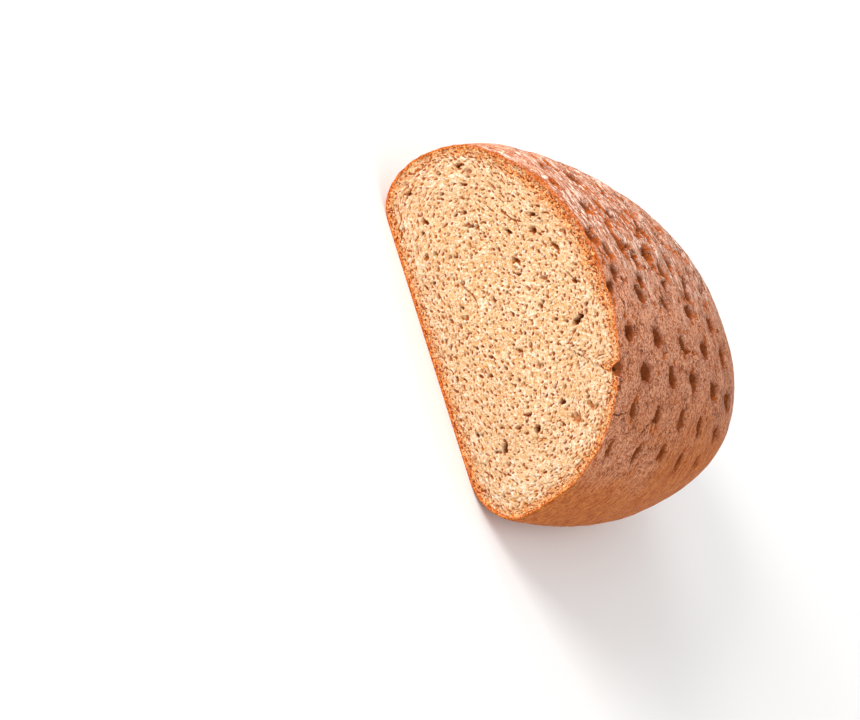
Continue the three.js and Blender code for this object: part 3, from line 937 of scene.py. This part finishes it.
class Paint:
    """A node material that is built up coat by coat."""

    def __init__(self, name):
        self.material = bpy.data.materials.new(name)
        self.material.use_nodes = True
        self.tree = self.material.node_tree
        self.shader = self.tree.nodes["Principled BSDF"]
        self.place = self.tree.nodes.new("ShaderNodeTexCoord").outputs["Object"]
        self.colour = None

    def link(self, value, socket):
        if isinstance(value, bpy.types.NodeSocket):
            self.tree.links.new(value, socket)
        else:
            socket.default_value = value

    def add(self, kind, inputs, **settings):
        """The outputs of a new node, whose inputs are each given a value or a link."""
        node = self.tree.nodes.new(kind)
        for name, value in settings.items():
            setattr(node, name, value)
        for name, value in inputs.items():
            self.link(value, node.inputs[name])
        return node.outputs

    def attribute(self, name, output="Fac"):
        return self.add("ShaderNodeAttribute", {}, attribute_name=name)[output]

    def height(self):
        return self.add("ShaderNodeSeparateXYZ", {0: self.place})["Z"]

    def noise(self, scale, detail=3, rough=0.55, stretch=(1, 1, 1), place=None):
        """Noise with a wave every 1 / scale of the place's unit, a metre unless given."""
        mapping = {"Scale": stretch, "Vector": place or self.place}
        vector = self.add("ShaderNodeMapping", mapping, vector_type="POINT")["Vector"]
        inputs = {"Scale": scale, "Detail": detail, "Roughness": rough, "Vector": vector}
        return self.add("ShaderNodeTexNoise", inputs)["Fac"]

    def dots(self, scale, least, most):
        """Round spots of mixed sizes: 1 at the middle of each and 0 outside it."""
        cells = self.add("ShaderNodeTexVoronoi", {"Scale": scale, "Vector": self.place})
        size = self.span(cells["Color"], 0.2, 0.8, least, most)
        return self.span(self.maths("SUBTRACT", size, cells["Distance"]), 0, 0.14)

    def span(self, value, low, high, to_low=0, to_high=1):
        """Goes smoothly from to_low to to_high while the value goes from low to high."""
        inputs = dict(enumerate((value, low, high, to_low, to_high)))
        return self.add("ShaderNodeMapRange", inputs, interpolation_type="SMOOTHSTEP")["Result"]

    def maths(self, operation, first, second):
        return self.add("ShaderNodeMath", {0: first, 1: second}, operation=operation)[0]

    def product(self, first, *others):
        for other in others:
            first = self.maths("MULTIPLY", first, other)
        return first

    def off_middle(self, value):
        """How far a noise is from its middle value, so 0 along winding lines."""
        return self.maths("ABSOLUTE", self.maths("SUBTRACT", value, 0.5), 0)

    def mix(self, share, first, second):
        return self.add("ShaderNodeMix", {0: share, 6: first, 7: second}, data_type="RGBA")[2]

    def coat(self, colour, *shares):
        """Lays a colour over what is there, by the product of its shares."""
        self.colour = self.mix(self.product(*shares), self.colour, colour)

    def bump(self, height, distance, strength, **under):
        inputs = {"Height": height, "Distance": distance, "Strength": strength, **under}
        return self.add("ShaderNodeBump", inputs)["Normal"]

    def finish(self, roughness, specular, normal):
        self.link(self.colour, self.shader.inputs["Base Color"])
        self.link(roughness, self.shader.inputs["Roughness"])
        self.shader.inputs["Specular IOR Level"].default_value = specular
        self.link(normal, self.shader.inputs["Normal"])
        return self.material


def crust_material():
    """Orange-brown at the foot, duller and speckled on the dome, with a painted sheen at its upper
    left, and painted glints and shade.
    """
    paint = Paint("crust")
    coat, span, mix, attribute = paint.coat, paint.span, paint.mix, paint.attribute
    patches = paint.noise(24, 4)
    fine_streaks = paint.noise(800, 2, 0.5, (0.3, 1, 0.3))
    skin_lines = paint.noise(380, 3, 0.65, (0.2, 1, 0.2))
    slack = paint.noise(110, 2, 0.5, (0.6, 1, 0.6))
    mottle = paint.noise(170, 3, 0.6)
    fissures = paint.noise(95, 4, 0.62)
    grain = paint.noise(900, 2, 0.6)
    specks = paint.noise(1500, 1, 0.5)

    # from the band round the foot to the dome
    uneven = paint.maths("ADD", paint.height(), span(patches, 0.3, 0.7, -0.012, 0.012))
    up = span(uneven, 0.036, 0.08)
    light = mix(up, BAND_LIGHT, DOME_LIGHT)
    dark = mix(up, BAND_DARK, DOME_DARK)
    paint.colour = mix(up, BAND, DOME)
    coat(BAND_LIGHT, span(patches, 0.4, 0.75, 0, 0.35))
    coat(dark, span(attribute("streak"), 0.1, 1.2, 0, 0.5))

    # speckles, painted glints on the band, and mottling
    coat(mix(span(grain, 0.41, 0.59), dark, light), span(uneven, 0.02, 0.08, 0.6, 0.7))
    coat(dark, paint.dots(260, 0, 0.3), span(up, 0, 1, 0.7, 0.3))
    coat(BAND_PAINTED_GLINT, span(specks, 0.55, 0.64), span(up, 0, 1, 0.55, 0))
    coat(DOME_SHADE, span(mottle, 0.48, 0.68), span(up, 0.1, 1, 0.12, 0.36))
    coat(DOME_LIGHT, span(mottle, 0.46, 0.32), span(up, 0.1, 1, 0.05, 0.25))
    coat(DOME_SHADE, attribute("ring"), span(mottle, 0.3, 0.6, 0.3, 0.7))

    # a painted sheen over the upper left of the dome, with lines of painted highlight and browner
    # skin streaks in it at two scales
    painted_sheen = attribute("painted_sheen")
    coat(SHEEN_PAINT, span(painted_sheen, 0, 1, 0, 0.6))
    painted_sheen = paint.product(painted_sheen, span(slack, 0.38, 0.6, 0.4, 1))
    for lines, wide in ((skin_lines, 0.06), (fine_streaks, 0.05)):
        pale = paint.product(painted_sheen, span(lines, 0.56, 0.61, 0, 1.2))
        coat(PAINTED_HIGHLIGHT_LINE, paint.maths("MINIMUM", pale, 0.75))
        thin = paint.product(painted_sheen, span(paint.off_middle(lines), wide, 0.02, 0, 1.5))
        coat(SKIN_STREAK, paint.maths("MINIMUM", thin, 0.8))
    lined = mix(span(fine_streaks, 0.42, 0.58), dark, light)
    coat(lined, span(up, 0, 1, 0.4, 0.12))
    # painted glints on the dome's specks
    coat(PAINTED_GLINT, span(specks, 0.55, 0.65), span(up, 0.2, 1, 0, 0.35))
    coat(EDGE_BURN, attribute("burn"), span(grain, 0.35, 0.6, 1, 0.4))

    # tears, with a painted highlight on their curled edges and painted shade in their deep parts,
    # then fine fissures, and cracks painted dark as shade
    torn = attribute("tear")
    coat(PAINTED_GLINT, span(torn, -0.03, -0.15, 0, 0.5))
    coat(TORN, span(torn, 0.03, 0.45, 0, 0.9))
    coat(TORN_DEEP, span(torn, 0.5, 1.3, 0, 0.75))
    fissure = span(paint.off_middle(fissures), 0.02, 0.006)
    coat(TORN_DEEP, fissure, span(mottle, 0.46, 0.54), span(up, 0.1, 0.8, 0, 0.75))
    coat(TORN_DEEP, span(attribute("crack"), 0.1, 0.5, 0, 0.8))

    # the docking pits, painted darker inside as shade, with painted shade on one side of each and a
    # painted lit wall on the other
    pit = attribute("pit")
    wall = mix(span(grain, 0.5, 0.65, 0, 0.4), PIT_WALL, TORN)
    coat(wall, span(pit, 0.05, 0.2, 0, 0.92))
    lit_wall = paint.product(attribute("lit_wall"), span(grain, 0.36, 0.56))
    coat(TORN, span(lit_wall, 0.1, 0.6, 0, 0.85))
    coat(PIT_DEEP, span(attribute("pit_shade"), 0.1, 1, 0, 0.9))

    # the skin's cut edge
    edge = mix(span(grain, 0.42, 0.58), SKIN_EDGE_DARK, SKIN_EDGE)
    coat(edge, attribute("skin"))

    hollow = paint.maths("MAXIMUM", span(pit, 0.05, 0.3), span(torn, 0.05, 0.3))
    hollow = paint.product(hollow, HOLLOW_ROUGHNESS)
    roughness = paint.maths("MAXIMUM", span(grain, 0.3, 0.7, *CRUST_ROUGHNESS), hollow)
    bump = paint.bump(fine_streaks, 0.0003, 0.5)
    bump = paint.bump(grain, 0.0007, 0.9, Normal=bump)
    return paint.finish(roughness, CRUST_SPECULAR, bump)


def crumb_material():
    """Pale crumb with painted shade in every pore and painted highlight and shade on its ridges,
    with a toasted rim under the crust.
    """
    paint = Paint("crumb")
    coat, span, mix, attribute = paint.coat, paint.span, paint.mix, paint.attribute
    patches = paint.noise(60, 3)
    grain = paint.noise(1250, 4, 0.7)
    ridges = attribute("grain")
    near_rim = attribute("drawn")
    along_rim = paint.noise(1.1, 2, 0.6, (1, 0.35, 0.35), attribute("flow", "Vector"))
    fine_pores = paint.dots(800, 0.15, 0.5)
    tiny_pores = paint.dots(1400, 0.15, 0.5)

    # ridges and hollows: painted highlight where the crumb stands forward, painted shade where it
    # sinks back
    paint.colour = mix(span(patches, 0.3, 0.7), CRUMB, CRUMB_WARM)
    coat(CRUMB_LIGHT, span(ridges, 0, 0.8, 0, 0.5))
    coat(CRUMB_SHADE, span(ridges, 0, -0.8, 0, 0.3))
    coat(CRUMB_LIGHT, span(grain, 0.5, 0.64, 0, 0.5))
    coat(CRUMB_SHADE, span(grain, 0.46, 0.34, 0, 0.4))
    streaks = mix(span(along_rim, 0.4, 0.6), CRUMB_SHADE, CRUMB_LIGHT)
    coat(streaks, span(near_rim, 0, 1, 0, 0.15))

    # painted shade in the pores, the finest first, and a painted highlight on the walls of the
    # larger ones
    coat(CRUMB_SHADE, tiny_pores, 0.4)
    coat(CRUMB_SHADE, fine_pores, 0.5)
    lip = span(attribute("lip"), 0.1, 0.9)
    coat(CRUMB_LIGHT, lip, span(near_rim, 0, 1, 0.8, 0.35))
    pore = attribute("pore")
    coat(PORE, span(pore, 0.08, 0.6, 0, 0.95))
    coat(PORE_DEEP, span(pore, 0.85, 1.6, 0, 0.95))

    # the toasted rim, and the broken dark line just inside the skin
    rim = attribute("rim")
    wavy = paint.maths("ADD", rim, span(paint.noise(240), 0.3, 0.7, -1, 1))
    toast = paint.product(span(wavy, 2.2, 0.4), attribute("toast"))
    amber = mix(span(grain, 0.46, 0.64), RIM, RIM_LIGHT)
    amber = mix(span(along_rim, 0.52, 0.64, 0, 0.5), amber, RIM_LIGHT)
    amber = mix(toast, amber, RIM_DEEP)
    # painted shade in the rim's pores
    amber = mix(paint.product(fine_pores, 0.7), amber, RIM_PORE)
    amber = mix(span(pore, 0.15, 0.7), amber, RIM_PORE)
    coat(amber, span(wavy, 5.5, 1.2, 0, 0.95))
    near_skin = paint.product(span(rim, 0.7, 1), span(rim, 1.7, 1.2))
    coat(RIM_LINE, near_skin, span(grain, 0.56, 0.42, 0, 0.9))

    height = paint.maths("SUBTRACT", paint.product(grain, 1.4), fine_pores)
    bump = paint.bump(paint.maths("SUBTRACT", height, tiny_pores), 0.00035, 0.8)
    return paint.finish(CRUMB_ROUGHNESS, CRUMB_SPECULAR, bump)


# -------- floor and light

FLOOR_RADIUS = 14.0
FLOOR_SIDES = 96
FLOOR_GREY = 0.92
FLOOR_ROUGHNESS = 0.9
WORLD_STRENGTH = 0.7
# direction to the picture's right, up and back, distance, size, power in watts and tint
LIGHTS = {
    "key": ((-0.22, 0.76, 0.6), 1.6, 0.8, 23.5, (1.0, 0.97, 0.94)),
    "fill": ((0.72, -0.25, 0.64), 2.0, 2.6, 11.0, (1.0, 0.98, 0.96)),
    "sheen": ((-0.1, 0.9, -0.25), 1.6, 0.8, 15.0, (1.0, 0.98, 0.98)),
}


def make_floor():
    paint = Paint("floor")
    paint.shader.inputs["Base Color"].default_value = (FLOOR_GREY, FLOOR_GREY, FLOOR_GREY, 1)
    paint.shader.inputs["Roughness"].default_value = FLOOR_ROUGHNESS
    angles = 2 * np.pi * np.arange(FLOOR_SIDES) / FLOOR_SIDES
    corners = FLOOR_RADIUS * np.stack([np.cos(angles), np.sin(angles), 0 * angles], -1)
    mesh = bpy.data.meshes.new("floor")
    mesh.from_pydata(corners.tolist(), [], [list(range(FLOOR_SIDES))])
    mesh.materials.append(paint.material)
    floor = bpy.data.objects.new("floor", mesh)
    bpy.context.collection.objects.link(floor)


def make_lights():
    """Soft square lights, turned to the loaf, in a pale studio."""
    for name, (shares, distance, size, power, tint) in LIGHTS.items():
        direction = sum((s * a for s, a in zip(shares, picture_axes())), Vector()).normalized()
        data = bpy.data.lights.new(name, "AREA")
        data.shape = "SQUARE"
        data.size = size
        data.energy = power
        data.color = tint
        lamp = bpy.data.objects.new(name, data)
        lamp.location = to_frame(AIM) + direction * distance
        lamp.rotation_euler = (-direction).to_track_quat("-Z", "Y").to_euler()
        bpy.context.collection.objects.link(lamp)
    world = bpy.data.worlds.new("studio")
    world.use_nodes = True
    background = world.node_tree.nodes["Background"]
    background.inputs["Color"].default_value = (1, 1, 1, 1)
    background.inputs["Strength"].default_value = WORLD_STRENGTH
    bpy.context.scene.world = world
    bpy.context.scene.view_settings.view_transform = "Standard"


# -------- the loaf

make_camera()
make_floor()
make_lights()
crust, cut_outline = build_crust(crust_material())
crumb = build_crumb(cut_outline, crumb_material())
for piece, slot in ((crust, "crust"), (crumb, "crumb")):
    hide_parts("half_loaf")
    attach(piece, "root")
